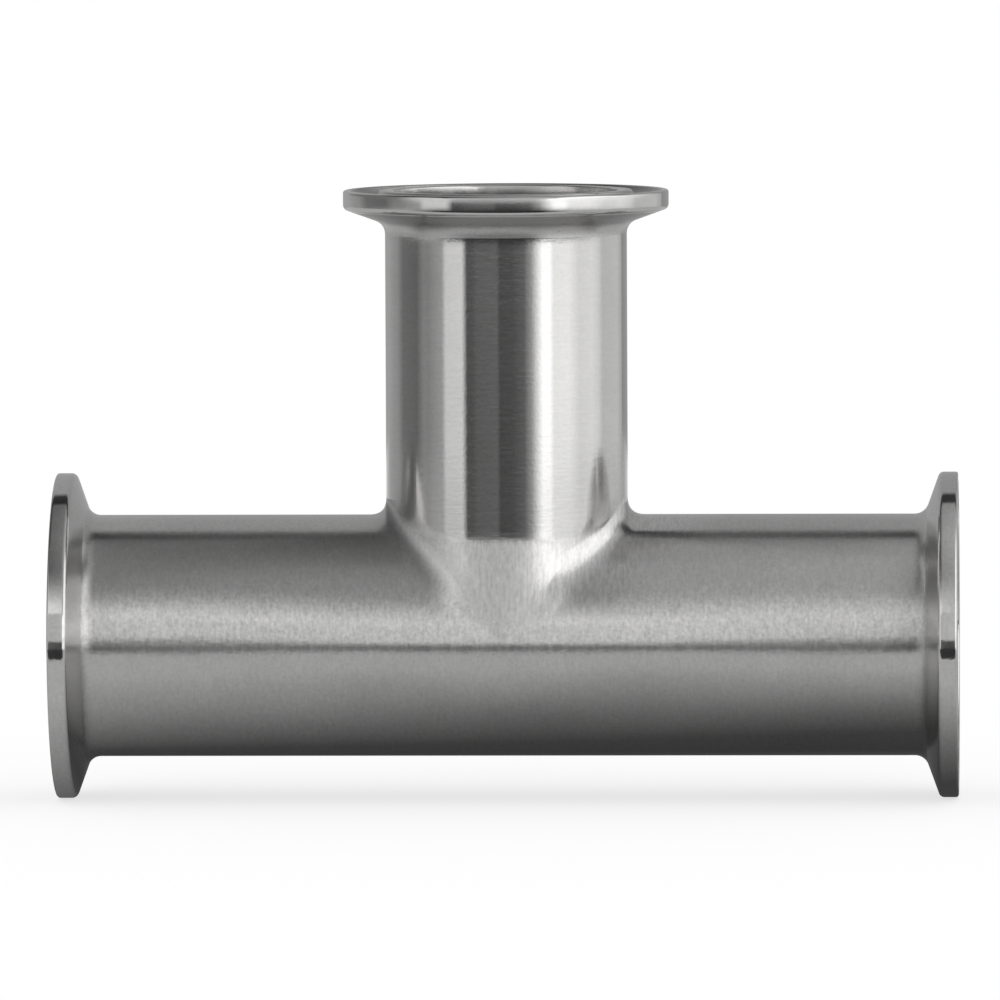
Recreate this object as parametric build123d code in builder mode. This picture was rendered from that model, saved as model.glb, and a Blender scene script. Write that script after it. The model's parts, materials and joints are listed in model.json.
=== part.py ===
from build123d import *
import os
from math import radians, sqrt, tan

# Sanitary clamp tee, nominal 38 mm (1.5 inch), in welded stainless steel tube.
#
# The run tube lies along X, and a short collar is drawn up out of it.  A branch stub
# carries the collar on along +Z.  Each of the three ends has a clamp ferrule, and a weld
# bead, dressed flush outside and inside, joins each pair of neighbours.
#
# Frame: millimetres, origin where the run axis and the branch axis cross, +X along the
# run, +Z up the branch.

# ---- Driving dimensions -------------------------------------------------------------
tube_od = 37.5            # nominal 38 mm tube after grinding and polishing
bore = 35.0               # inside diameter of the tube and the ferrules
run_to_face = 70.0        # from the crossing of the axes to both sealing faces of the run
branch_to_face = 69.2     # and to the branch's, whose stub is trimmed a little shorter
ferrule_length = 21.5     # sealing face to the weld, the standard short ferrule
collar_joint = 23.0       # height of the weld on top of the drawn collar
collar_draft = 0.25       # how much the drawn collar narrows, in radius, down to the run axis
crotch_radius = 2.5       # outside radius where the branch leaves the run

flange_od = 50.5          # clamp flange
rim_thickness = 2.85      # cylindrical rim of the flange, before its corners are rounded
back_taper = 20.0         # degrees, the clamp's seat on the back of the flange
face_corner = 0.4         # radius from the sealing face to the rim
back_corner = 0.9         # radius from the rim to the tapered back
neck_radius = 2.2         # radius from the tapered back to the tube
bore_corner = 0.25        # radius from the sealing face to the bore

groove_pitch = 43.6       # diameter of the gasket groove's middle
groove_arc = 2.35         # radius of the groove's section
groove_depth = 1.6
groove_lip = 0.3          # radius on both lips of the groove

weld_width_outside = 3.0  # a full penetration bead tapers inwards
weld_width_inside = 2.0
cutter_margin = 1.0       # how far a cutter stands clear of the tube's wall

# ---- Worked out from them -----------------------------------------------------------
tube_radius = tube_od / 2
bore_radius = bore / 2
wall = tube_radius - bore_radius
flange_radius = flange_od / 2
flare = (flange_radius - tube_radius) * tan(radians(back_taper))
bevel_slope = (weld_width_outside - weld_width_inside) / 2 / wall

# Where the sealing face and the ferrule's weld are along each end.
face_at = {"left": run_to_face, "right": run_to_face, "branch": branch_to_face}
joint_at = {end: face - ferrule_length for end, face in face_at.items()}

# Each end has a plane whose X runs out along the end's axis and whose Y is the radius.
end_planes = {
    "left": Plane(origin=(0, 0, 0), x_dir=(-1, 0, 0), z_dir=(0, 1, 0)),
    "right": Plane.XZ,
    "branch": Plane(origin=(0, 0, 0), x_dir=(0, 0, 1), z_dir=(0, 1, 0)),
}


def axis_of(end):
    """The line that an end's round parts turn about."""
    plane = end_planes[end]
    return Axis(plane.origin, plane.x_dir)


def nearest_vertex(sketch, point):
    """The corner of a sketch that lies at a point."""
    return sketch.vertices().sort_by_distance(Vector(*point))[0]


# ---- Weld beads ---------------------------------------------------------------------
def weld_bead(end, distance):
    """A ring of weld metal, flush with the tube outside and with the bore inside."""
    with BuildPart() as bead:
        with BuildSketch(end_planes[end]):
            with BuildLine():
                Polyline(
                    (distance - weld_width_outside / 2, tube_radius),
                    (distance + weld_width_outside / 2, tube_radius),
                    (distance + weld_width_inside / 2, bore_radius),
                    (distance - weld_width_inside / 2, bore_radius),
                    close=True,
                )
            make_face()
        revolve(axis=axis_of(end))
    return bead.part


weld_left = weld_bead("left", joint_at["left"])
weld_right = weld_bead("right", joint_at["right"])
weld_collar = weld_bead("branch", collar_joint)
weld_branch = weld_bead("branch", joint_at["branch"])


# ---- Run tube with its drawn collar -------------------------------------------------
def run_and_collar(radius, blend):
    """A cylinder along the run with the drafted collar on it, blended where they cross."""
    with BuildPart() as space:
        with BuildSketch(Plane.YZ.offset(-joint_at["left"])):
            Circle(radius)
        extrude(amount=joint_at["left"] + joint_at["right"])
        with BuildSketch(Plane.XZ):
            with BuildLine():
                Polyline(
                    (0, 0),
                    (radius - collar_draft, 0),
                    (radius, collar_joint),
                    (0, collar_joint),
                    close=True,
                )
            make_face()
        revolve(axis=Axis.Z)
        crossing = space.edges().filter_by(
            lambda edge: edge.geom_type not in (GeomType.CIRCLE, GeomType.LINE)
        )
        fillet(crossing, blend)
    return space.part


def bevel_cutter(end, distance):
    """The space beyond a tube's bevelled edge, where its weld bead begins."""
    outside = distance - weld_width_outside / 2 - bevel_slope * cutter_margin
    inside = distance - weld_width_inside / 2 + bevel_slope * cutter_margin
    beyond = distance + weld_width_outside
    with BuildPart() as cutter:
        with BuildSketch(end_planes[end]):
            with BuildLine():
                Polyline(
                    (outside, tube_radius + cutter_margin),
                    (beyond, tube_radius + cutter_margin),
                    (beyond, bore_radius - cutter_margin),
                    (inside, bore_radius - cutter_margin),
                    close=True,
                )
            make_face()
        revolve(axis=axis_of(end))
    return cutter.part


tube_skin = run_and_collar(tube_radius, crotch_radius)
tube_cavity = run_and_collar(bore_radius, crotch_radius + wall)
tube_edges = {**joint_at, "branch": collar_joint}

with BuildPart() as run_tube:
    add(tube_skin)
    add(tube_cavity, mode=Mode.SUBTRACT)
    for end, distance in tube_edges.items():
        add(bevel_cutter(end, distance), mode=Mode.SUBTRACT)

# ---- Branch stub --------------------------------------------------------------------
with BuildPart() as branch_stub:
    with BuildSketch(end_planes["branch"]):
        with BuildLine():
            Polyline(
                (collar_joint + weld_width_outside / 2, tube_radius),
                (joint_at["branch"] - weld_width_outside / 2, tube_radius),
                (joint_at["branch"] - weld_width_inside / 2, bore_radius),
                (collar_joint + weld_width_inside / 2, bore_radius),
                close=True,
            )
        make_face()
    revolve(axis=axis_of("branch"))


# ---- Clamp ferrules -----------------------------------------------------------------
def clamp_ferrule(end):
    """A short tube that flares into the clamp flange, with its gasket groove."""
    face = face_at[end]
    joint = joint_at[end]
    face_bore = (face, bore_radius)
    face_rim = (face, flange_radius)
    back_rim = (face - rim_thickness, flange_radius)
    back_neck = (face - rim_thickness - flare, tube_radius)
    groove_centre = face + groove_arc - groove_depth
    lip = sqrt(groove_arc**2 - (groove_arc - groove_depth) ** 2)
    with BuildPart() as ferrule:
        with BuildSketch(end_planes[end]) as section:
            with BuildLine():
                Polyline(
                    face_bore,
                    face_rim,
                    back_rim,
                    back_neck,
                    (joint + weld_width_outside / 2, tube_radius),
                    (joint + weld_width_inside / 2, bore_radius),
                    close=True,
                )
            make_face()
            fillet(nearest_vertex(section, face_bore), bore_corner)
            fillet(nearest_vertex(section, face_rim), face_corner)
            fillet(nearest_vertex(section, back_rim), back_corner)
            fillet(nearest_vertex(section, back_neck), neck_radius)
            with Locations((groove_centre, groove_pitch / 2)):
                Circle(groove_arc, mode=Mode.SUBTRACT)
            for side in (-1, 1):
                lip_point = (face, groove_pitch / 2 + side * lip)
                fillet(nearest_vertex(section, lip_point), groove_lip)
        revolve(axis=axis_of(end))
    return ferrule.part


ferrule_left = clamp_ferrule("left")
ferrule_right = clamp_ferrule("right")
ferrule_branch = clamp_ferrule("branch")

# ---- One file for each piece --------------------------------------------------------
pieces = {
    "run_tube": run_tube.part,
    "branch_stub": branch_stub.part,
    "ferrule_left": ferrule_left,
    "ferrule_right": ferrule_right,
    "ferrule_branch": ferrule_branch,
    "weld_left": weld_left,
    "weld_right": weld_right,
    "weld_collar": weld_collar,
    "weld_branch": weld_branch,
}

os.makedirs("parts", exist_ok=True)
for name, piece in pieces.items():
    piece.label = name
    export_step(piece, f"parts/{name}.step")
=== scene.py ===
import json
from math import atan2, cos, pi, radians, sin, sqrt, tan

import bmesh
import bpy
import numpy as np
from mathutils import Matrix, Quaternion, Vector


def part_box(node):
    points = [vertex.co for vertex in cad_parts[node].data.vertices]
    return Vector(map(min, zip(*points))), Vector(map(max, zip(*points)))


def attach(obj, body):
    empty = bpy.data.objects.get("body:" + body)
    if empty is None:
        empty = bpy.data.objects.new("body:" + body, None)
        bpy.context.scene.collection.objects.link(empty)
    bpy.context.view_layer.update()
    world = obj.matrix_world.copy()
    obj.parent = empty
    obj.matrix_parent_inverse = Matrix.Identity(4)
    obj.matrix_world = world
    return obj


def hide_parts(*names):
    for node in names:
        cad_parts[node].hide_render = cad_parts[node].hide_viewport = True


# A sanitary clamp tee in brushed stainless steel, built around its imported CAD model.
# Everything is in metres.  The run lies along X, the branch stands up along Z, and the
# origin is where the two axes cross.

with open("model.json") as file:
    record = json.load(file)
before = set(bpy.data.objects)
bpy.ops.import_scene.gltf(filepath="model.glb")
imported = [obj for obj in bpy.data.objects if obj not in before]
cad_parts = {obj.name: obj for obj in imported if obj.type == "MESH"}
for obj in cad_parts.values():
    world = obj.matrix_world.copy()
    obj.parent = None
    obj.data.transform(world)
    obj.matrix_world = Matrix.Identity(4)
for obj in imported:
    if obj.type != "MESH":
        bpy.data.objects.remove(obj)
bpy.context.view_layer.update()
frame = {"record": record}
MM = 0.001
TINY = 0.0001 * MM        # for merging doubled points and measuring slopes

# ---- Sizes that the frame gives -----------------------------------------------------
# Directions of the three ends: along the axis, and two across it.
ENDS = {
    "left": ((-1, 0, 0), (0, 1, 0), (0, 0, 1)),
    "right": ((1, 0, 0), (0, 1, 0), (0, 0, 1)),
    "branch": ((0, 0, 1), (1, 0, 0), (0, 1, 0)),
}
RUN_AXIS = ENDS["right"][0]
BRANCH_AXIS = ENDS["branch"][0]


def mount(name):
    """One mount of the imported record."""
    return next(m for m in frame["record"]["mounts"] if m["name"] == name)


def along(node, end):
    """The two distances between which a node lies, along one end's axis."""
    low, high = (corner.dot(Vector(ENDS[end][0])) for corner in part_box(node))
    return (min(low, high), max(low, high))


TUBE_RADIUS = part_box("branch_stub")[1].x
BORE_RADIUS = mount("run_bore")["dims"]["r_mm"] * MM
WALL = TUBE_RADIUS - BORE_RADIUS
FLANGE_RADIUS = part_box("ferrule_branch")[1].x
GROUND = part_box("ferrule_left")[0].z
# How far out each sealing face is.
FACE = {end: along(f"ferrule_{end}", end)[1] for end in ENDS}
# Where each weld starts and stops on the outside of its tube.
END_WELD = {end: along(f"weld_{end}", end) for end in ENDS}
COLLAR_WELD = along("weld_collar", "branch")
# How much further a tube reaches at its bore than outside, at each welded end.
BEVEL = along("run_tube", "right")[1] - END_WELD["right"][0]

# ---- The ferrule's section, as on the CAD part --------------------------------------
RIM_THICKNESS = 2.85 * MM
BACK_TAPER = radians(20)
FACE_CORNER = 0.4 * MM
BACK_CORNER = 0.9 * MM
NECK_RADIUS = 2.2 * MM
BORE_CORNER = 0.25 * MM
GROOVE_PITCH_RADIUS = 21.8 * MM
GROOVE_ARC = 2.35 * MM
GROOVE_DEPTH = 1.6 * MM
GROOVE_LIP = 0.3 * MM

# ---- How the collar runs into the run -----------------------------------------------
CROTCH_BLEND = 2.7 * MM   # reach of the blend at the two crotches
FRONT_BLEND = 4.5 * MM    # and at the front and back, where the surfaces nearly line up
BLEND_FADE = 8.0 * MM     # it fades out below this height, down to the run's axis
SWELL = 0.95 * MM         # how far the hand-ground saddle stands out, front and back
SWELL_TOP = 16.0 * MM     # it starts at a faint ridge here
SWELL_FOOT = -20.0 * MM   # it is full at the run's axis and fades out down to here
SWELL_SPREAD = (0.3, 0.85)  # it rises as the surfaces line up, over these cosines

# ---- Mesh density -------------------------------------------------------------------
SEGMENTS = 256            # round each tube
RING_STEP = 1.6 * MM      # about the length of a quad along a turned piece
ARC_STEP = radians(9)     # turn of each step round a corner
ARC_STEPS = 3             # and the fewest steps round one
SHARP_ANGLE = radians(32)
RUN_ROWS = 44             # from the crease to the run's end
COLLAR_ROWS = 24          # from the crease up to the weld
CREASE_CROWD = 1.6        # above 1, rows crowd together at the crease
SKIN_ROUNDS = 12          # repeats that bring the points onto the blended skin
LEAST_SLOPE = 0.3         # this keeps each of their moves short


# ---- Round pieces -------------------------------------------------------------------
def arc(centre, start, end, clockwise):
    """Points round centre from start to end, both included, in (along, radius)."""
    first = atan2(start[1] - centre[1], start[0] - centre[0])
    last = atan2(end[1] - centre[1], end[0] - centre[0])
    turn = (last - first) % (2 * pi)
    if clockwise:
        turn -= 2 * pi
    radius = sqrt((start[0] - centre[0]) ** 2 + (start[1] - centre[1]) ** 2)
    steps = max(ARC_STEPS, round(abs(turn) / ARC_STEP))
    angles = [first + turn * i / steps for i in range(steps + 1)]
    return [(centre[0] + radius * cos(a), centre[1] + radius * sin(a)) for a in angles]


def rounded(before, corner, after, radius):
    """The arc that rounds off a corner between two straight lines."""
    before, corner, after = Vector(before), Vector(corner), Vector(after)
    a = (before - corner).normalized()
    b = (after - corner).normalized()
    half = a.angle(b) / 2
    start = corner + a * (radius / tan(half))
    end = corner + b * (radius / tan(half))
    centre = corner + (a + b).normalized() * (radius / sin(half))
    return arc(centre, start, end, clockwise=a.x * b.y - a.y * b.x > 0)


def stepped(points):
    """A closed outline with its long straight edges divided."""
    result = []
    for here, there in zip(points, points[1:] + points[:1]):
        length = sqrt((there[0] - here[0]) ** 2 + (there[1] - here[1]) ** 2)
        steps = max(1, round(length / RING_STEP))
        for i in range(steps):
            result.append([h + (t - h) * i / steps for h, t in zip(here, there)])
    return result


def solid(name, points, faces):
    """A smooth mesh object; doubled points are merged and its faces point outwards."""
    mesh = bpy.data.meshes.new(name)
    mesh.from_pydata(points.tolist(), [], faces.tolist())
    work = bmesh.new()
    work.from_mesh(mesh)
    bmesh.ops.remove_doubles(work, verts=work.verts, dist=TINY)
    bmesh.ops.recalc_face_normals(work, faces=work.faces)
    work.to_mesh(mesh)
    work.free()
    mesh.shade_smooth()
    mesh.set_sharp_from_angle(angle=SHARP_ANGLE)
    piece = bpy.data.objects.new(name, mesh)
    bpy.context.scene.collection.objects.link(piece)
    return piece


def turned(name, end, outline):
    """A solid ring: an outline of (along, radius) points turned about an end's axis."""
    axis, across, up = (np.array(v) for v in ENDS[end])
    outline = np.array(outline)
    angles = np.arange(SEGMENTS) * 2 * pi / SEGMENTS
    spokes = np.outer(np.cos(angles), across) + np.outer(np.sin(angles), up)
    points = outline[None, :, :1] * axis + outline[None, :, 1:] * spokes[:, None, :]
    index = np.arange(points.shape[0] * points.shape[1]).reshape(points.shape[:2])
    beside = np.roll(index, -1, axis=0)
    quads = (index, beside, np.roll(beside, -1, axis=1), np.roll(index, -1, axis=1))
    return solid(name, points.reshape(-1, 3), np.stack(quads, -1).reshape(-1, 4))


def ring_outline(low, high):
    """A ring between two planes, each given where it cuts the outside and the bore."""
    return stepped(
        [
            (low[0], TUBE_RADIUS),
            (high[0], TUBE_RADIUS),
            (high[1], BORE_RADIUS),
            (low[1], BORE_RADIUS),
        ]
    )


def weld_outline(low, high):
    """A weld bead, narrower at the bore than outside."""
    return ring_outline((low, low + BEVEL), (high, high - BEVEL))


def groove_outline(face):
    """The gasket groove from its inner lip to its outer lip."""
    centre = (face + GROOVE_ARC - GROOVE_DEPTH, GROOVE_PITCH_RADIUS)
    reach = GROOVE_ARC + GROOVE_LIP
    offset = sqrt(reach**2 - (centre[0] - face + GROOVE_LIP) ** 2)
    ends = []
    for side in (-1, 1):
        lip = Vector((face - GROOVE_LIP, centre[1] + side * offset))
        edge = Vector(centre) + (lip - Vector(centre)) * (GROOVE_ARC / reach)
        ends.append((lip, (face, lip[1]), edge))
    (inner_lip, inner_flat, inner_edge), (outer_lip, outer_flat, outer_edge) = ends
    return (
        arc(inner_lip, inner_flat, inner_edge, clockwise=False)
        + arc(centre, inner_edge, outer_edge, clockwise=True)[1:-1]
        + arc(outer_lip, outer_edge, outer_flat, clockwise=False)
    )


def ferrule_outline(weld, face):
    """A clamp ferrule: bore, sealing face with its groove, rim, tapered back, tube."""
    back = face - RIM_THICKNESS
    neck = back - (FLANGE_RADIUS - TUBE_RADIUS) * tan(BACK_TAPER)
    bore_end = (weld - BEVEL, BORE_RADIUS)
    face_bore = (face, BORE_RADIUS)
    face_rim = (face, FLANGE_RADIUS)
    back_rim = (back, FLANGE_RADIUS)
    back_neck = (neck, TUBE_RADIUS)
    tube_end = (weld, TUBE_RADIUS)
    return stepped(
        [bore_end]
        + rounded(bore_end, face_bore, face_rim, BORE_CORNER)
        + groove_outline(face)
        + rounded(face_bore, face_rim, back_rim, FACE_CORNER)
        + rounded(face_rim, back_rim, back_neck, BACK_CORNER)
        + rounded(back_rim, back_neck, tube_end, NECK_RADIUS)
        + [tube_end]
    )


# ---- Run tube with its drawn collar -------------------------------------------------
def eased(value, low, high):
    """0 below low and 1 above high, with a smooth rise between them."""
    part = np.clip((value - low) / (high - low), 0, 1)
    return part**2 * (3 - 2 * part)


def skin_distance(p, radius, wall):
    """How far points stand outside the blended skin of the run and its collar.

    wall is 0 for the outer skin, which has the swell, and the wall's thickness for the bore.
    """
    x, y, z = p.T
    run_length = np.sqrt(y**2 + z**2)
    collar_length = np.sqrt(x**2 + y**2 + np.minimum(z, 0) ** 2)
    in_line = y**2 / (run_length * collar_length)
    spread = np.sqrt(np.clip(1 - in_line**2, 0, 1))
    reach = CROTCH_BLEND + (FRONT_BLEND - CROTCH_BLEND) * (1 - spread) + wall
    reach = reach * spread * eased(z, 0, BLEND_FADE) + TINY
    run = run_length - radius
    collar = collar_length - radius
    overlap = np.clip(1 - np.abs(run - collar) / reach, 0, 1)
    blended = np.minimum(run, collar) - overlap**2 * reach / 4
    if wall:
        return blended
    rise = np.clip((SWELL_TOP - z) / SWELL_TOP, 0, 1) * eased(z, SWELL_FOOT, 0)
    return blended - SWELL * rise * eased(in_line, *SWELL_SPREAD)


def on_skin(p, radius, wall):
    """Points moved square onto the blended skin."""
    for _ in range(SKIN_ROUNDS):
        here = skin_distance(p, radius, wall)
        slope = np.stack(
            [
                (skin_distance(p + TINY * axis, radius, wall) - here) / TINY
                for axis in np.eye(3)
            ],
            -1,
        )
        length = np.maximum((slope**2).sum(-1), LEAST_SLOPE)
        p = p - (here / length)[:, None] * slope
    return p


def joined(parts):
    """Several meshes as one, each given as its points and its faces."""
    points = np.concatenate([part_points for part_points, _ in parts])
    starts = np.cumsum([0] + [len(part_points) for part_points, _ in parts])
    faces = [part_faces + start for (_, part_faces), start in zip(parts, starts)]
    return points, np.concatenate(faces)


def skin(radius, wall, run_end, collar_end):
    """Points and quads of one skin: run, collar and belly, in grids that share edges."""
    turn = np.linspace(-pi / 2, pi / 2, SEGMENTS // 2 + 1)[:, None]
    run_step = np.linspace(0, 1, RUN_ROWS + 1)[None, :] ** CREASE_CROWD
    collar_step = np.linspace(0, 1, COLLAR_ROWS + 1)[None, :] ** CREASE_CROWD
    crease = radius * np.cos(turn)
    across = radius * np.sin(turn)
    parts = []
    for side in (-1, 1):
        for grid in (
            (side * (crease + run_step * (run_end - crease)), across, crease),
            (side * crease, across, crease + collar_step * (collar_end - crease)),
            (side * run_end * run_step, across, -crease),
        ):
            grid = np.stack(np.broadcast_arrays(*grid), -1)
            index = np.arange(grid[..., 0].size).reshape(grid.shape[:2])
            quads = (index[:-1, :-1], index[1:, :-1], index[1:, 1:], index[:-1, 1:])
            parts.append((grid.reshape(-1, 3), np.stack(quads, -1).reshape(-1, 4)))
    points, faces = joined(parts)
    return on_skin(points, radius, wall), faces


def band(inner, outer):
    """The ring of quads that joins two open edges with the same number of points."""
    count = len(inner)
    here = np.arange(count)
    there = (here + 1) % count
    quads = np.stack([here, there, there + count, here + count], -1)
    return np.concatenate([inner, outer]), quads


def run_tube():
    """The run with its collar: two skins joined by bevelled ends."""
    run_end = END_WELD["right"][0]
    collar_end = COLLAR_WELD[0]
    angles = np.linspace(-pi / 2, 1.5 * pi, SEGMENTS, endpoint=False)
    parts = [
        skin(TUBE_RADIUS, 0, run_end, collar_end),
        skin(BORE_RADIUS, WALL, run_end + BEVEL, collar_end + BEVEL),
    ]
    for name, directions in ENDS.items():
        axis, across, up = (np.array(v) for v in directions)
        spokes = np.outer(np.sin(angles), across) + np.outer(np.cos(angles), up)
        end = collar_end if name == "branch" else run_end
        outside = axis * end + spokes * TUBE_RADIUS
        bore = axis * (end + BEVEL) + spokes * BORE_RADIUS
        parts.append(band(outside, bore))
    return solid("run_tube_steel", *joined(parts))


# ---- Brushed steel ------------------------------------------------------------------
STEEL = (0.68, 0.675, 0.67)

# The grain, in noise cells per metre.
STROKES = 1900            # across the brush lines
RUN_ALONG = 700           # along those of the run
BRANCH_ALONG = 300        # along those of the branch
HAND_ALONG = 480          # along the strokes of the hand-ground saddle
SPECKS = 1800             # of the fine pits between the lines
PITS = 0.45               # how much of the grain is pits and not strokes
HAND_PITS = 0.25          # and on the hand-ground saddle
GRAIN_SHEEN = 0.3         # how much the roughness follows the grain
BLOTCHES = 110            # cells of the slow variation in tone
BLOTCH_TONE = 0.14        # and its range

# Finishes: roughness, grain height, how much the grain darkens and lightens the steel,
# and a factor on the steel's colour, which below 1 is painted shade.
SATIN = (0.34, 0.030 * MM, 0.60, 1.0)
SCRATCHED_SATIN = (0.34, 0.034 * MM, 1.20, 1.0)
NECK = (0.285, 0.015 * MM, 0.50, 1.0)
# The tapered back of the branch's ferrule, its colour a third darker: painted shade for the
# dark surroundings that it reflects.
CONE_WITH_PAINTED_SHADE = (0.285, 0.015 * MM, 0.50, 0.66)
RIM = (0.12, 0.008 * MM, 0.40, 1.0)
GROUND_BY_HAND = (0.17, 0.012 * MM, 0.85, 1.0)
BRIGHT = (0.06, 0.009 * MM, 0.25, 1.0)
FOOT = (0.24, 0.010 * MM, 0.25, 1.0)
TURNED = (0.07, 0.003 * MM, 0.20, 1.0)

# Where one finish goes over to another.
NECK_START = (50 * MM, 63 * MM)     # the run's satin gets finer along this stretch
SCRATCHED_FOOT = (-2 * MM, 1 * MM)  # heights where the scratched band of the run starts
SCRATCHED_TOP = (6 * MM, 10 * MM)   # and ends
FOOT_HEIGHTS = (20 * MM, 32 * MM)   # the dull sides of the branch's foot fade out here
# On a ferrule, by distance from the axis: the fillet, the tapered back and the rim.
FILLET_START = (TUBE_RADIUS + 0.0005 * MM, TUBE_RADIUS + 0.004 * MM)
CONE_START = (TUBE_RADIUS + 0.6 * MM, TUBE_RADIUS + 1.4 * MM)
RIM_START = (FLANGE_RADIUS - 1.2 * MM, FLANGE_RADIUS - 0.8 * MM)

# The edge of the brushing round the collar, above the hand-ground saddle.
COLLAR_BRUSH = 16.0 * MM  # its height at the front
BRUSH_RISE = 9.0 * MM     # it climbs this much towards the crotches
BRUSH_CLIMB = 4           # and most of that near them, by this power
BRUSH_SOFT = 0.1 * MM     # half its width at the front
BRUSH_FADE = 3.5 * MM     # and how much that grows towards the crotches
BRUSH_EDGE = 0.25 * MM    # how ragged it is
RAGGED_CELLS = 500        # by noise with this many cells per metre

# Where the hand-ground saddle fades in on the run, by distance inwards from the crease.
GROUND_REACH = (-5 * MM, 4 * MM)
GROUND_PATCHES = 5 * MM   # how uneven that is
PATCH_CELLS = 240         # by noise with this many cells per metre
GROUND_LEAN = 8 * MM      # it goes this much further on the right, and less on the left
GROUND_FOOT = (0 * MM, 6 * MM)  # and it fades in over these heights


class Graph:
    """Short ways to add nodes to one node tree."""

    def __init__(self, tree):
        self.tree = tree

    def feed(self, socket, value):
        """Gives an input socket its value: another socket to link, or a plain value."""
        if isinstance(value, bpy.types.NodeSocket):
            self.tree.links.new(value, socket)
        else:
            socket.default_value = value

    def node(self, kind, *inputs, **settings):
        """A new node.  Each input is a socket to link, a value to set, or None."""
        node = self.tree.nodes.new(kind)
        for key, value in settings.items():
            setattr(node, key, value)
        for socket, value in zip(node.inputs, inputs):
            if value is not None:
                self.feed(socket, value)
        return node

    def maths(self, operation, *inputs):
        return self.node("ShaderNodeMath", *inputs, operation=operation).outputs[0]

    def square(self, value):
        return self.maths("MULTIPLY", value, value)

    def absolute(self, value):
        return self.maths("ABSOLUTE", value)

    def vector(self, operation, *inputs):
        return self.node("ShaderNodeVectorMath", *inputs, operation=operation).outputs[0]

    def split(self, vector):
        return self.node("ShaderNodeSeparateXYZ", vector).outputs[:3]

    def join(self, *xyz):
        return self.node("ShaderNodeCombineXYZ", *xyz).outputs[0]

    def from_axis(self, place, axis):
        """How far a place is from an axis through the origin."""
        across = self.vector("MULTIPLY", place, tuple(1 - a for a in axis))
        length = self.node("ShaderNodeVectorMath", across, operation="LENGTH")
        return length.outputs["Value"]

    def scaled(self, value, low, high, to_low=0.0, to_high=1.0):
        """value from low..high brought to to_low..to_high, and kept within them."""
        node = self.node("ShaderNodeMapRange", value, low, high, to_low, to_high)
        return node.outputs[0]

    def noise(self, vector, w, scale, detail, roughness):
        """Noise in four dimensions, about 0 to 1."""
        node = self.node("ShaderNodeTexNoise", noise_dimensions="4D")
        inputs = {
            "Vector": vector, "W": w, "Scale": scale, "Detail": detail, "Roughness": roughness,
        }
        for name, value in inputs.items():
            self.feed(node.inputs[name], value)
        return node.outputs[0]

    def mix(self, factor, a, b):
        """Two vectors mixed: a where factor is 0, b where it is 1."""
        node = self.node("ShaderNodeMix", factor, data_type="VECTOR")
        for socket, value in zip(node.inputs[4:6], (a, b)):
            self.feed(socket, value)
        return node.outputs[1]

    def blend(self, factor, a, b):
        """Two numbers mixed in the same way."""
        return self.node("ShaderNodeMix", factor, None, a, b).outputs[0]

    def ramp(self, position, stops):
        """Grey read off a line of (position, value) stops."""
        node = self.node("ShaderNodeValToRGB", position)
        line = node.color_ramp
        for _ in stops[2:]:
            line.elements.new(0.5)
        for element, (place, value) in zip(line.elements, stops):
            element.position = place
            element.color = (value, value, value, 1)
        return node.outputs[0]


def grain(graph, place, axis, along, pits=PITS, follow_radius=False):
    """Brush lines that run round an axis, with fine pits, as a height from 0 to 1.

    follow_radius keeps the lines fine on a face that is square to the axis.
    """
    cells = tuple(STROKES if a else along for a in axis)
    stretched = graph.vector("MULTIPLY", place, cells)
    radius = graph.from_axis(place, axis)
    depth = graph.maths("MULTIPLY", radius, STROKES if follow_radius else 0.0)
    strokes = graph.noise(stretched, depth, scale=1.0, detail=2.0, roughness=0.6)
    specks = graph.noise(place, 0.0, scale=SPECKS, detail=1.0, roughness=0.5)
    return graph.blend(pits, strokes, specks)


def blend_finishes(graph, factor, first, second):
    """One finish going over to another by factor."""
    return [graph.blend(factor, a, b) for a, b in zip(first, second)]


def run_finish(graph, place):
    """The run's satin, finer near its ends and more scratched in a band at mid-height."""
    x, _, z = graph.split(place)
    near_end = graph.scaled(graph.absolute(x), *NECK_START)
    finish = blend_finishes(graph, near_end, SATIN, NECK)
    above_foot = graph.scaled(z, *SCRATCHED_FOOT)
    above_top = graph.scaled(z, *SCRATCHED_TOP)
    scratched = graph.maths("SUBTRACT", above_foot, above_top)
    return blend_finishes(graph, scratched, finish, SCRATCHED_SATIN)


def branch_finish(graph, place):
    """The branch's bright finish, duller at the two sides of its foot."""
    x, _, z = graph.split(place)
    beside = graph.square(graph.maths("MULTIPLY", x, 1 / TUBE_RADIUS))
    low = graph.scaled(z, *FOOT_HEIGHTS, 1.0, 0.0)
    return blend_finishes(graph, graph.maths("MULTIPLY", beside, low), BRIGHT, FOOT)


def ferrule_finish(graph, place, axis, finish, zones):
    """A ferrule's finish, which changes outwards in zones, and its turned bore."""
    radius = graph.from_axis(place, axis)
    for start, zone in zones:
        finish = blend_finishes(graph, graph.scaled(radius, *start), finish, zone)
    in_bore = graph.maths("LESS_THAN", radius, TUBE_RADIUS - WALL / 2)
    return blend_finishes(graph, in_bore, finish, TURNED)


def collar_mask(graph, place):
    """1 on the collar above the hand-ground saddle, and 0 below."""
    x, _, z = graph.split(place)
    side = graph.maths("MULTIPLY", graph.absolute(x), 1 / TUBE_RADIUS)
    climb = graph.maths("MULTIPLY", graph.maths("POWER", side, BRUSH_CLIMB), BRUSH_RISE)
    soft = graph.maths("MULTIPLY_ADD", graph.square(side), BRUSH_FADE, BRUSH_SOFT)
    ragged = graph.noise(place, 0.0, scale=RAGGED_CELLS, detail=2.0, roughness=0.6)
    edge = graph.maths("MULTIPLY_ADD", ragged, 2 * BRUSH_EDGE, COLLAR_BRUSH - BRUSH_EDGE)
    above = graph.maths("SUBTRACT", z, graph.maths("ADD", edge, climb))
    return graph.scaled(graph.maths("DIVIDE", above, soft), -1.0, 1.0)


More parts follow.
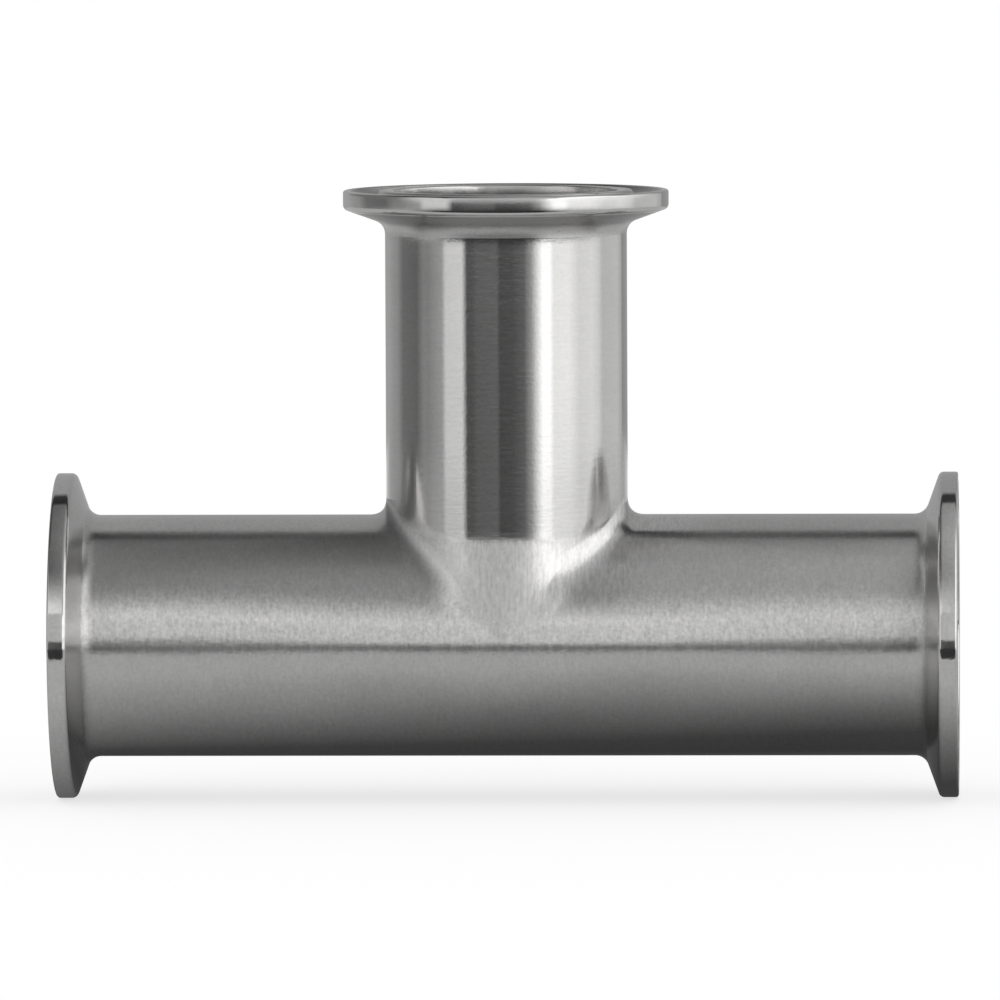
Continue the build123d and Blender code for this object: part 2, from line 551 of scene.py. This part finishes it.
def ground_mask(graph, place):
    """1 on the hand-ground saddle and above it, and 0 on the rest of the run."""
    x, _, z = graph.split(place)
    reach = graph.maths("SUBTRACT", graph.absolute(z), graph.absolute(x))
    patchy = graph.noise(place, 0.0, scale=PATCH_CELLS, detail=2.0, roughness=0.6)
    reach = graph.maths("MULTIPLY_ADD", patchy, GROUND_PATCHES, reach)
    lean = graph.scaled(x, -TUBE_RADIUS / 2, TUBE_RADIUS / 2, -GROUND_LEAN, GROUND_LEAN)
    ground = graph.scaled(graph.maths("ADD", reach, lean), *GROUND_REACH)
    return graph.maths("MULTIPLY", ground, graph.scaled(z, *GROUND_FOOT))


def add_saddle(graph, place, axis, height, across, finish):
    """The run's grain, brush direction and finish, changed on its saddle and collar."""
    collar = collar_mask(graph, place)
    ground = ground_mask(graph, place)
    by_hand = grain(graph, place, axis, HAND_ALONG, HAND_PITS)
    height = graph.blend(ground, height, by_hand)
    height = graph.blend(collar, height, grain(graph, place, BRANCH_AXIS, BRANCH_ALONG))
    across = graph.mix(collar, across, BRANCH_AXIS)
    finish = blend_finishes(graph, ground, finish, GROUND_BY_HAND)
    finish = blend_finishes(graph, collar, finish, branch_finish(graph, place))
    return height, across, finish


def brushed_steel(name, axis, saddle=False, zones=()):
    """Steel brushed round an axis.  A ferrule has zones, and the run has a saddle."""
    material = bpy.data.materials.new(name)
    material.use_nodes = True
    graph = Graph(material.node_tree)
    place = graph.node("ShaderNodeTexCoord").outputs["Object"]
    on_run = axis == RUN_AXIS
    finish = run_finish(graph, place) if on_run else branch_finish(graph, place)
    lines_along = RUN_ALONG if on_run else BRANCH_ALONG
    height = grain(graph, place, axis, lines_along, follow_radius=bool(zones))
    across = graph.join(*axis)
    if zones:
        finish = ferrule_finish(graph, place, axis, finish, zones)
        normal = graph.node("ShaderNodeNewGeometry").outputs["Normal"]
        lines = graph.vector("CROSS_PRODUCT", axis, place)
        across = graph.vector("CROSS_PRODUCT", normal, lines)
    if saddle:
        height, across, finish = add_saddle(graph, place, axis, height, across, finish)
    finish_steel(graph, place, height, across, finish)
    return material


def finish_steel(graph, place, height, across, finish):
    """Sets up the shader of a steel, from its grain and the direction across its lines."""
    rough, grain_height, grain_tone, shade = finish
    swing = graph.maths("SUBTRACT", height, 0.5)
    blotch = graph.noise(place, 0.0, scale=BLOTCHES, detail=3.0, roughness=0.5)
    blotch = graph.maths("MULTIPLY_ADD", blotch, BLOTCH_TONE, 1 - BLOTCH_TONE / 2)
    tone = graph.maths("MULTIPLY_ADD", swing, grain_tone, 1.0)
    # shade scales the colour: below 1 it is painted shade, as on the branch ferrule's tapered
    # back.
    tone = graph.maths("MULTIPLY", graph.maths("MULTIPLY", tone, shade), blotch)
    colour = graph.node("ShaderNodeVectorMath", STEEL, operation="SCALE")
    graph.feed(colour.inputs["Scale"], tone)
    uneven = graph.maths("MULTIPLY_ADD", swing, GRAIN_SHEEN, 1.0)
    bump = graph.node("ShaderNodeBump")
    graph.feed(bump.inputs["Distance"], 1.0)
    graph.feed(bump.inputs["Height"], graph.maths("MULTIPLY", height, grain_height))
    shader_inputs = {
        "Metallic": 1.0,
        "Anisotropic": 1.0,
        "Base Color": colour.outputs[0],
        "Roughness": graph.maths("MULTIPLY", uneven, rough),
        "Tangent": across,
        "Normal": bump.outputs[0],
    }
    shader = graph.tree.nodes["Principled BSDF"]
    for name, value in shader_inputs.items():
        graph.feed(shader.inputs[name], value)


MATERIALS = {
    "run": brushed_steel("run_steel", RUN_AXIS, saddle=True),
    "run_weld": brushed_steel("run_weld_steel", RUN_AXIS),
    "branch": brushed_steel("branch_steel", BRANCH_AXIS),
    "run_ferrule": brushed_steel("run_ferrule_steel", RUN_AXIS, zones=[(CONE_START, RIM)]),
    "branch_ferrule": brushed_steel(
        "branch_ferrule_steel",
        BRANCH_AXIS,
        # the tapered back's finish darkens its colour as painted shade
        zones=[(FILLET_START, NECK), (CONE_START, CONE_WITH_PAINTED_SHADE), (RIM_START, TURNED)],
    ),
}


# ---- The pieces ---------------------------------------------------------------------
def add(piece, node, material):
    """Puts a finished piece in the place of its CAD node."""
    piece.data.materials.append(MATERIALS[material])
    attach(piece, "root")
    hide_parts(node)


def add_tubes():
    """The run tube, the branch stub and the weld between them."""
    add(run_tube(), "run_tube", "run")
    foot = COLLAR_WELD[1]
    top = END_WELD["branch"][0]
    stub = ring_outline((foot, foot - BEVEL), (top, top + BEVEL))
    add(turned("branch_stub_steel", "branch", stub), "branch_stub", "branch")
    bead = turned("weld_collar_steel", "branch", weld_outline(*COLLAR_WELD))
    add(bead, "weld_collar", "branch")


def add_end(end):
    """One end's weld and ferrule."""
    on_branch = end == "branch"
    bead = turned(f"weld_{end}_steel", end, weld_outline(*END_WELD[end]))
    add(bead, f"weld_{end}", "branch" if on_branch else "run_weld")
    outline = ferrule_outline(END_WELD[end][1], FACE[end])
    ferrule = turned(f"ferrule_{end}_steel", end, outline)
    add(ferrule, f"ferrule_{end}", "branch_ferrule" if on_branch else "run_ferrule")


# ---- Studio -------------------------------------------------------------------------
CAMERA = Vector((0.089, -2.18, 0.160))
AIM = Vector((-0.0011, 0, 0.0210))
FOCAL_MM = 507
SENSOR_MM = 36
FARTHEST = 100            # metres that the camera sees
ROLL = radians(-0.25)
CAMERA_AZIMUTH = 2.3      # degrees to the right of the -Y axis

# What the steel reflects: grey levels by azimuth from the camera, in degrees, to the
# right, at the height of the camera and above it.
LEVEL_PANELS = (
    (-180, 0.95), (-165, 0.78), (-150, 0.42), (-127, 0.34), (-117, 0.19), (-95, 0.15),
    (-86, 0.29), (-80, 0.28), (-64, 0.42), (-60, 0.82), (-43, 0.88), (-38, 0.09),
    (-33, 0.09), (-28, 0.13), (-9, 0.15), (-6, 0.07), (6, 0.08), (17, 0.14), (24, 0.42),
    (30, 1.05), (35, 1.62), (42, 1.60), (46, 1.17), (62, 1.18), (74, 0.92), (90, 0.98),
    (99, 0.86), (105, 0.65), (132, 0.67), (145, 0.47), (168, 0.85), (180, 0.95),
)
UPPER_PANELS = (
    (-180, 0.40), (-130, 0.20), (-85, 0.24), (-64, 0.82), (-42, 0.84), (-36, 0.64),
    (-12, 0.58), (5, 0.66), (20, 0.68), (32, 1.30), (100, 1.10), (140, 0.5), (180, 0.42),
)
# How the upper panels fade by height, in degrees.
UPPER_FADE = ((-90, 0.9), (0, 0.95), (14, 0.95), (26, 0.9), (40, 0.4), (90, 0.30))
# A tall bright panel stands to the right, with its own fade by height.
TALL_PANEL = ((-180, 0), (22, 0), (31, 1.65), (50, 1.5), (95, 1.2), (105, 0), (180, 0))
TALL_FADE = ((-90, 0), (-1, 0), (1, 1), (52, 1), (64, 0), (90, 0))
# Below the panels it is dark in front.
RING = ((-180, 0.5), (-75, 0.5), (-50, 0.05), (26, 0.03), (48, 0.5), (180, 0.5))
LEVEL_TOP = (-1, 0.5)     # degrees of height over which the upper panels take over
RING_TOP = (-6, -5)       # and the level ones from the dark below
BRIGHTEST = 1.7           # above every grey level of the panels

# A tent over the tee, by the angle about the run's axis: 0 is level in front and 90 is
# straight up.
TENT = (
    (-180, 0.36), (0, 0.64), (12, 0.67), (20, 0.81), (25, 0.74), (31, 0.58), (37, 0.44),
    (43, 0.33), (49, 0.29), (75, 0.35), (98, 0.30), (107, 0.26), (109, 0.04), (118, 0.04),
    (122, 0.37), (180, 0.37),
)
TENT_REACH = 19           # it starts this many degrees up in front
TENT_STEP = 4             # degrees that each of its flat strips spans
TENT_RADIUS = 0.35
TENT_WIDTH = 0.5
# How much brighter the tent gets to the right, per metre, by the same angle.
TENT_TILT = ((-180, 0), (0, -2), (25, -2), (50, 4.2), (108, 4.2), (118, -0.5), (180, -0.5))
STEEPEST = 5              # above every one of those
DIMMEST = 0.1             # the least that the tilt leaves of the tent's light

# On the card that the tee lies on, by millimetres behind the run's axis: its own shadow.
CARD_SHADE = (
    (-125, 0.50), (-110, 0.54), (-50, 0.52), (-35, 0.42), (-26, 0.34), (-20, 0.26),
    (-15, 0.187), (-10, 0.13), (-4, 0.067), (8, 0.05), (40, 0.10), (120, 0.30), (300, 0.38),
)
CARD_WIDTH = 0.5
CARD_FADE = (0.07, 0.112)  # the shadow fades out between these, from the middle
CARD_GREY = (0.5, 0.5, 0.5)  # and beyond them the card is this grey
CARD_DROP = 0.02 * MM     # the card is this far below the tee
SHADE_SKEW = 0.09         # the shadow falls further forward on the right

FLOOR_REACH = 20          # metres each way
FLOOR_DROP = 0.05 * MM    # the floor is this far below it, just under the card
FLOOR_GREY = (0.3, 0.3, 0.3, 1)
FLOOR_GLOW = 0.7
WHITE = (1, 1, 1, 1)


def by_angle(graph, angle, stops, top=BRIGHTEST):
    """Grey by an angle in radians, from stops in degrees, as a share of top."""
    position = graph.maths("MULTIPLY_ADD", angle, 0.5 / pi, 0.5)
    return graph.ramp(position, [(a / 360 + 0.5, v / top) for a, v in stops])


def panels(graph, azimuth, elevation, greys, fade):
    """Panels all round, which fade by height."""
    return graph.vector(
        "MULTIPLY", by_angle(graph, azimuth, greys), by_angle(graph, elevation, fade, 1.0)
    )


def past(graph, elevation, heights):
    """0 below two heights in degrees, and 1 above them."""
    return graph.scaled(elevation, *(radians(height) for height in heights))


def add_world():
    """A pale room for the camera and the floor, and soft panels for the steel."""
    world = bpy.data.worlds.new("studio")
    bpy.context.scene.world = world
    world.use_nodes = True
    world.cycles.sampling_method = "NONE"
    graph = Graph(world.node_tree)
    direction = graph.node("ShaderNodeTexCoord").outputs["Generated"]
    x, y, z = graph.split(direction)
    azimuth = graph.maths("ARCTAN2", x, graph.maths("MULTIPLY", y, -1.0))
    azimuth = graph.maths("SUBTRACT", azimuth, radians(CAMERA_AZIMUTH))
    elevation = graph.maths("ARCSINE", z)
    ring = by_angle(graph, azimuth, RING)
    level = by_angle(graph, azimuth, LEVEL_PANELS)
    upper = panels(graph, azimuth, elevation, UPPER_PANELS, UPPER_FADE)
    tall = panels(graph, azimuth, elevation, TALL_PANEL, TALL_FADE)
    upper = graph.vector("MAXIMUM", upper, tall)
    shown = graph.mix(past(graph, elevation, LEVEL_TOP), level, upper)
    shown = graph.mix(past(graph, elevation, RING_TOP), ring, shown)
    steel_light = graph.node("ShaderNodeBackground", shown, BRIGHTEST)
    room = graph.node("ShaderNodeBackground", WHITE, 1.0)
    glossy = graph.node("ShaderNodeLightPath").outputs["Is Glossy Ray"]
    both = graph.node("ShaderNodeMixShader", glossy, room.outputs[0], steel_light.outputs[0])
    graph.feed(graph.tree.nodes["World Output"].inputs[0], both.outputs[0])


def sheet(name, points, faces):
    """A piece of the stage, with a new material of its own."""
    mesh = bpy.data.meshes.new(name)
    mesh.from_pydata(points, [], faces)
    piece = bpy.data.objects.new(name, mesh)
    bpy.context.scene.collection.objects.link(piece)
    material = bpy.data.materials.new(name)
    material.use_nodes = True
    mesh.materials.append(material)
    return piece, Graph(material.node_tree)


def flat_sheet(name, low, high, height):
    """A level rectangle of the stage, from corner to corner."""
    corners = [(low[0], low[1]), (high[0], low[1]), (high[0], high[1]), (low[0], high[1])]
    return sheet(name, [(x, y, height) for x, y in corners], [(0, 1, 2, 3)])


def only_in_steel(piece, graph, shade, strength):
    """Lets a piece of the stage glow in the steel's reflections and nowhere else."""
    glow = graph.node("ShaderNodeEmission", shade, strength)
    graph.feed(graph.tree.nodes["Material Output"].inputs[0], glow.outputs[0])
    piece.visible_camera = False
    piece.visible_diffuse = False
    piece.visible_shadow = False


def add_floor():
    """A wide pale table that lights up evenly, so that the object's shadow stays soft."""
    low = (-FLOOR_REACH, -FLOOR_REACH)
    high = (FLOOR_REACH, FLOOR_REACH)
    table, graph = flat_sheet("floor", low, high, GROUND - FLOOR_DROP)
    shader_inputs = {
        "Base Color": FLOOR_GREY,
        "Roughness": 0.9,
        "Specular IOR Level": 0.0,
        "Emission Color": WHITE,
        "Emission Strength": FLOOR_GLOW,
    }
    shader = graph.tree.nodes["Principled BSDF"]
    for name, value in shader_inputs.items():
        graph.feed(shader.inputs[name], value)
    table.visible_glossy = False


def add_card():
    """The small card under the tee, with the shading that the steel picks up from it."""
    front = CARD_SHADE[0][0] * MM
    back = CARD_SHADE[-1][0] * MM
    side = CARD_WIDTH / 2
    card, graph = flat_sheet("card", (-side, front), (side, back), GROUND - CARD_DROP)
    x, y, _ = graph.split(graph.node("ShaderNodeTexCoord").outputs["Object"])
    behind = graph.maths("MULTIPLY_ADD", x, SHADE_SKEW, y)
    stops = [((d * MM - front) / (back - front), grey) for d, grey in CARD_SHADE]
    shade = graph.ramp(graph.scaled(behind, front, back), stops)
    outside = graph.scaled(graph.absolute(x), *CARD_FADE)
    only_in_steel(card, graph, graph.mix(outside, shade, CARD_GREY), 1.0)


def add_tent():
    """An arch of cloth along the run, with light that changes from left to right."""
    points = [
        (side * TENT_WIDTH / 2, -TENT_RADIUS * cos(a), TENT_RADIUS * sin(a))
        for a in map(radians, range(TENT_REACH, 181, TENT_STEP))
        for side in (-1, 1)
    ]
    faces = [(i, i + 1, i + 3, i + 2) for i in range(0, len(points) - 2, 2)]
    tent, graph = sheet("tent", points, faces)
    x, y, z = graph.split(graph.node("ShaderNodeTexCoord").outputs["Object"])
    turn = graph.maths("ARCTAN2", z, graph.maths("MULTIPLY", y, -1.0))
    shade = by_angle(graph, turn, TENT, 1.0)
    slope = by_angle(graph, turn, [(a, v + STEEPEST) for a, v in TENT_TILT], 2 * STEEPEST)
    slope = graph.maths("MULTIPLY_ADD", slope, 2 * STEEPEST, -STEEPEST)
    tilt = graph.maths("MAXIMUM", graph.maths("MULTIPLY_ADD", x, slope, 1.0), DIMMEST)
    only_in_steel(tent, graph, shade, tilt)


def add_camera():
    """The camera, turned so that the branch leans a little, as it was held."""
    data = bpy.data.cameras.new("camera")
    data.lens = FOCAL_MM
    data.sensor_width = SENSOR_MM
    data.clip_end = FARTHEST
    eye = bpy.data.objects.new("camera", data)
    bpy.context.scene.collection.objects.link(eye)
    aim = (AIM - CAMERA).to_track_quat("-Z", "Y")
    eye.rotation_mode = "QUATERNION"
    eye.rotation_quaternion = aim @ Quaternion((0, 0, 1), ROLL)
    eye.location = CAMERA
    bpy.context.scene.camera = eye


# ---- The scene ----------------------------------------------------------------------
add_tubes()
for end in ENDS:
    add_end(end)
add_world()
add_floor()
add_card()
add_tent()
add_camera()
bpy.context.scene.view_settings.view_transform = "Standard"
